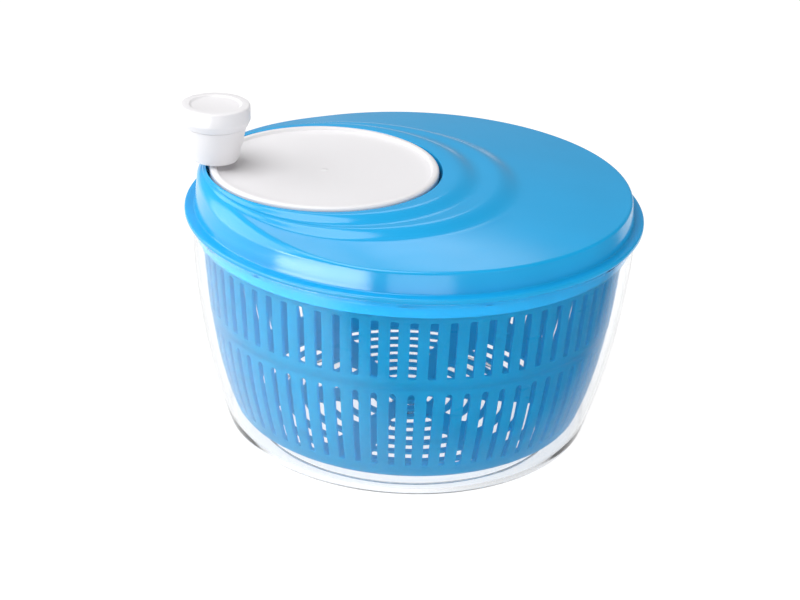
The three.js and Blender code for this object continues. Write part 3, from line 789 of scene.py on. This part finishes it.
def lid_rings():
    """Each ring as its centre on X, its radius, and its height as a function of the angle."""

    def flat(centre, r, z):
        return centre, r, lambda a: z

    def on_top(t, down=0.0):
        r = RECESS_R + (EDGE_R - RECESS_R) * t
        return CRANK_X * (1 - t), r, lambda a: lid_top(t, a) - down

    def edge(out, down):
        return 0, EDGE_R + out, lambda a: lid_top(1, a) - down

    def round_axis(outline):
        return [flat(0, r, z) for r, z in outline]

    inner = RECESS_R + WALL
    ring_in = LOCATING_R - 2
    rings = [flat(CRANK_X, r, RECESS_Z - WALL) for r in (0, 30, 60, inner - 0.6)]
    rings += [flat(CRANK_X, inner, RECESS_Z - WALL + 0.6)]
    rings += [(CRANK_X, inner, lambda a: lid_top(0.05, a) - WALL - 0.8)]
    rings += [on_top(t, WALL) for t in np.linspace(0.07, 0.94, 26)]
    rings += [edge(-WALL - 0.8, WALL - 1), flat(0, ring_in, FLANGE_Z + 1)]
    ring_foot = [(ring_in, LOCATING_Z, 0.5), (LOCATING_R, LOCATING_Z, 0.5)]
    rings += round_axis(rounded([(ring_in, FLANGE_Z), *ring_foot, (LOCATING_R, FLANGE_Z)])[1:-1])
    rings += round_axis([(LOCATING_R, FLANGE_Z - 0.4), (LOCATING_R + 0.4, FLANGE_Z)])
    lip = [(125, FLANGE_Z), (FLANGE_R, FLANGE_Z, 0.7), (FLANGE_R, FLANGE_TOP, 1.1), (126, FLANGE_TOP)]
    rings += round_axis(rounded(lip))
    skirt_foot = rounded([(126, FLANGE_TOP), (SKIRT_R, FLANGE_TOP, 1.1), (SKIRT_R - 0.2, FLANGE_TOP + 3)])
    rings += round_axis(skirt_foot[1:])
    rings += [(0, EDGE_R + 0.6, lambda a: (FLANGE_TOP + 3 + lid_top(1, a)) / 2)]
    rings += [on_top(1 - (k / TOP_RINGS) ** 2) for k in range(TOP_RINGS)]
    rings += [flat(CRANK_X, RECESS_R + 0.4, PAD_Z - 0.1), flat(CRANK_X, RECESS_R + 0.1, PAD_Z - 0.4)]
    rings += [flat(CRANK_X, RECESS_R, PAD_Z - 0.9), flat(CRANK_X, RECESS_R, RECESS_Z + 0.8)]
    rings += [flat(CRANK_X, r, RECESS_Z) for r in (RECESS_R - 0.8, 60, 30, 0)]
    return rings


def lid_mesh():
    mesh = bmesh.new()
    rings = []
    for centre, r, height in lid_rings():
        count = LID_SEGMENTS if r > 1e-6 else 1
        turns = [2 * math.pi * i / LID_SEGMENTS for i in range(count)]
        rings.append([mesh.verts.new((centre + r * math.cos(a), r * math.sin(a), height(a))) for a in turns])
    for low, high in zip(rings, rings[1:]):
        for i in range(LID_SEGMENTS):
            add_facet(mesh, low, high, i)
    return mesh


def lid():
    low = span("crank_bush")[0].z
    places = (0, CRANK_X)
    bosses = [moved(cylinder(BOSS_OUTER_R, low, RECESS_Z - 0.5, 48), x) for x in places]
    bores = [moved(cylinder(BUSH_HOLE_R, low - 1, RECESS_Z + 1, 48), x) for x in places]
    made = combined(to_object(lid_mesh(), fine("lid_shell")), bosses, "UNION")
    return combined(made, bores, "DIFFERENCE")


show(lid(), "lid_shell", 32)


# ------------------------------------------------------------------ crank disc and knob
DISC_LOW = span("crank_disc")[0].z
DISC_TOP = span("crank_disc")[1].z
DISC_R = 64.2
DISH_R = 60
DISH_MIDDLE_Z = 155.5
SPINDLE_HOLE_R = 2.3
SCREW_HOLE_R = 1.5
KNOB_NECK = 2.8
TUBE_R = 5
KNOB_PLACE = axis_of("knob_spin")
CRANK_PLACE = axis_of("crank_spin")


def crank_disc():
    """A shallow dish inside a raised, rounded rim, with a fine mark in its middle."""
    edge_z = DISC_TOP - 1.9
    bowed = edge_z - DISH_MIDDLE_Z
    dish = [(r, DISH_MIDDLE_Z + bowed * (r / DISH_R) ** 2) for r in np.linspace(DISH_R, 3, 14)]
    under = [(r, z - 1.8) for r, z in dish[::-2]]
    inner = DISC_R - 2.4
    side = [(inner, edge_z - 1.4, 0.6), (inner, DISC_LOW, 0.4), (DISC_R, DISC_LOW, 0.5)]
    rim = [(DISC_R, DISC_TOP, 2.1), (DISH_R + 0.5, DISC_TOP, 0.7), (DISH_R, edge_z + 0.2, 0.3)]
    outline = [(0, under[0][1]), *under[:-1]]
    outline += rounded([under[-1], *side, *rim, dish[1]])[:-1]
    outline += dish[1:]
    outline += [(1.5, DISH_MIDDLE_Z + 0.02), (1.3, DISH_MIDDLE_Z + 0.12), (0, DISH_MIDDLE_Z + 0.14)]
    made = to_object(moved(turned(outline, 240), CRANK_PLACE.x), fine("crank_disc"))
    lug = moved(cylinder(4.4, DISC_LOW, DISC_TOP - 0.1, 40), *KNOB_PLACE)
    low = span("crank_gear")[1].z + GAP
    screws = [span(f"gear_screw_{i}") for i in (1, 2, 3)]
    middles = [(a + b) / 2 for a, b in screws]
    boss_top = DISH_MIDDLE_Z - 0.5
    bosses = [moved(cylinder(3.4, low, boss_top, 32), p.x, p.y) for p in middles]
    pilots = [moved(cylinder(SCREW_HOLE_R, low - 1, boss_top - 0.1, 24), p.x, p.y) for p in middles]
    eye = moved(cylinder(SPINDLE_HOLE_R, DISC_LOW - 1, DISC_TOP + 1, 32), *KNOB_PLACE)
    combined(made, [lug, *bosses], "UNION")
    return combined(made, [eye, *pilots], "DIFFERENCE")


def knob_body():
    """A tapered shell with a neck that plugs into the cap and a tube round the spindle."""
    low, high = (corner.z for corner in span("knob_body"))
    top = high - KNOB_NECK - GAP
    side = [(12.8, low, 1.5), (17.3, top, 0.4)]
    neck = [(16.3, top, 0.2), (16.3, high, 0.3), (14.5, high, 0.3)]
    inside = [(11, low + 2.4, 1.2), (TUBE_R, low + 2.4, 0.8), (TUBE_R, high - 0.5, 0.4)]
    outline = rounded([(SPINDLE_HOLE_R, low), *side, *neck, *inside, (SPINDLE_HOLE_R, high - 0.5)])
    return to_object(moved(turned(outline, 96, closed=True), *KNOB_PLACE), fine("knob_body"))


def knob_cap():
    """A cap whose side swells a little and tucks in at its foot, with a shallow dish in its top."""
    z0, z1 = (corner.z for corner in span("knob_cap"))
    inside = [(0, z1 - 3.4), (16.6, z1 - 3.4, 0.8), (16.6, z0, 0.3)]
    side = [(17.9, z0, 0.5), (19.5, z0 + 3.8, 3), (19.3, z1, 1.1)]
    dish = [(14.6, z1, 0.5), (13.4, z1 - 0.9, 1.2), (0, z1 - 1.5)]
    outline = rounded([*inside, *side, *dish])
    return to_object(moved(turned(outline, 128), *KNOB_PLACE), fine("knob_cap"))


show(crank_disc(), "crank_disc", 40)
show(knob_body(), "knob_body", 40)
show(knob_cap(), "knob_cap", 40)


# ------------------------------------------------------------------ turned fittings
THREAD_PITCH = 0.7
SHANK_R = 1.2
HEAD_THICK = 1.7
SPINDLE_R = 2
COLLAR_Z = 158.9
BUSH_R, BUSH_BORE_R = 6, 4.3
CUP_BORE_R, CUP_THICK = 2.4, 2.9
PLATE_HUB_R = 8.5
SOCKET_HALF = 3.1  # half the side of the plate's square socket


def shape_of(node):
    """A node's middle in the XY plane, its half width, and its lowest and highest height."""
    low, high = span(node)
    middle = (low + high) / 2
    return (middle.x, middle.y), (high.x - low.x) / 2, low.z, high.z


def fit(node, outline, segments=64, closed=False):
    """A turned piece in the place of a node."""
    middle, _, _, _ = shape_of(node)
    return show(to_object(moved(turned(outline, segments, closed), *middle), fine(node)), node, 40)


def pivot_pin():
    _, r, z0, z1 = shape_of("pivot_pin")
    return fit("pivot_pin", rounded([(0, z0), (r, z0, 0.3), (r, z1, 1.6), (0, z1)], 6))


def pivot_cup():
    _, r, z0, z1 = shape_of("pivot_cup")
    bore_z = z1 - CUP_THICK
    bore = [(0, bore_z), (CUP_BORE_R, bore_z, 0.5), (CUP_BORE_R, z0, 0.3)]
    return fit("pivot_cup", rounded([*bore, (r, z0, 0.3), (r, z1, 0.7), (0, z1)]))


def bush(node):
    _, r, z0, z1 = shape_of(node)
    body = [(BUSH_BORE_R, z0, 0.3), (BUSH_R, z0, 0.5), (BUSH_R, z1 - 1, 0.2)]
    flange = [(r, z1 - 1, 0.3), (r, z1, 0.3), (BUSH_BORE_R, z1, 0.3)]
    return fit(node, rounded(body + flange), closed=True)


def washer(node, bore_r):
    _, r, z0, z1 = shape_of(node)
    corners = [(bore_r, z0, 0.15), (r, z0, 0.25), (r, z1, 0.1), (bore_r, z1, 0.1)]
    return fit(node, rounded(corners), closed=True)


def screw(node):
    """A pan-head screw with its head down, a rolled thread and a cross recess."""
    middle, r, z0, z1 = shape_of(node)
    head_z = z0 + HEAD_THICK
    head = [(0, z0), (r * 0.72, z0, 0.8), (r, head_z - 0.9, 0.6), (r, head_z, 0.15), (SHANK_R, head_z)]
    outline = rounded(head)
    turns = int((z1 - head_z - 1.4) / THREAD_PITCH)
    for k in range(turns):
        z = head_z + 0.6 + k * THREAD_PITCH
        outline += [(SHANK_R - 0.15, z), (SHANK_R + 0.2, z + THREAD_PITCH / 2)]
    outline += [(SHANK_R - 0.15, z1 - 0.8), (0, z1)]
    made = to_object(moved(turned(outline, 32), *middle), fine(node))
    reach, half = r * 0.5, 0.35
    arms = [moved(block(-x, x, -y, y, z0 - 1, z0 + 1), *middle) for x, y in ((reach, half), (half, reach))]
    return show(combined(made, arms, "DIFFERENCE"), node, 30)


def spindle():
    _, r, z0, z1 = shape_of("knob_spindle")
    collar_top = COLLAR_Z + 0.7
    shaft = [(0, z0), (SPINDLE_R, z0, 0.3), (SPINDLE_R, COLLAR_Z)]
    collar = [(r, COLLAR_Z, 0.2), (r, collar_top, 0.2), (SPINDLE_R, collar_top)]
    return fit("knob_spindle", rounded([*shaft, *collar, (SPINDLE_R, z1, 0.7), (0, z1)]), 48)


def drive_plate():
    """A shallow cone with a socket for the pinion's square end, a rib to each tab, and rounded edges."""
    _, reach, z0, z1 = shape_of("drive_plate")
    plate_r, plate_z = reach - 4.9, z0 + 1.5
    middle_r = PLATE_HUB_R + 3.5
    under = [(0, plate_z + 1), (middle_r, plate_z + 0.9)]
    edge = [(plate_r, plate_z, 0.8), (plate_r, plate_z + 2.2, 0.8)]
    over = [(middle_r, plate_z + 4.6), (0, plate_z + 4.8)]
    dish = turned(rounded([*under, *edge, *over]), 192)
    tabs = []
    for k in range(SECTORS):
        turn = k * 2 * math.pi / SECTORS
        tab = block(plate_r - 8, reach, -3.7, 3.7, plate_z - 1.4, plate_z + 1.8)
        rib = block(PLATE_HUB_R - 1.5, plate_r - 8.5, -1, 1, plate_z + 1.6, plate_z + 6)
        tabs += [moved(tab, turn=turn), moved(rib, turn=turn)]
    made = combined(to_object(dish, fine("drive_plate")), [cylinder(PLATE_HUB_R, z0, z1, 64), *tabs], "UNION")
    socket = block(-SOCKET_HALF, SOCKET_HALF, -SOCKET_HALF, SOCKET_HALF, z0 - 2, z1 + 2)
    return show(softened(combined(made, [socket], "DIFFERENCE"), 0.5, 50), "drive_plate", 40)


pivot_pin()
pivot_cup()
for node in ("crank_bush", "pinion_bush"):
    bush(node)
washer("drive_washer", SCREW_HOLE_R)
washer("axle_washer", SCREW_HOLE_R)
washer("knob_push_nut", SPINDLE_HOLE_R)
for node in ("drive_screw", "axle_screw", "gear_screw_1", "gear_screw_2", "gear_screw_3"):
    screw(node)
spindle()
drive_plate()


# ------------------------------------------------------------------ what stays as the CAD made it
for node, obj in frame["nodes"].items():
    if not obj.hide_render:
        obj.data.materials.clear()
        obj.data.materials.append(MATERIAL[SLOT_OF[node]])
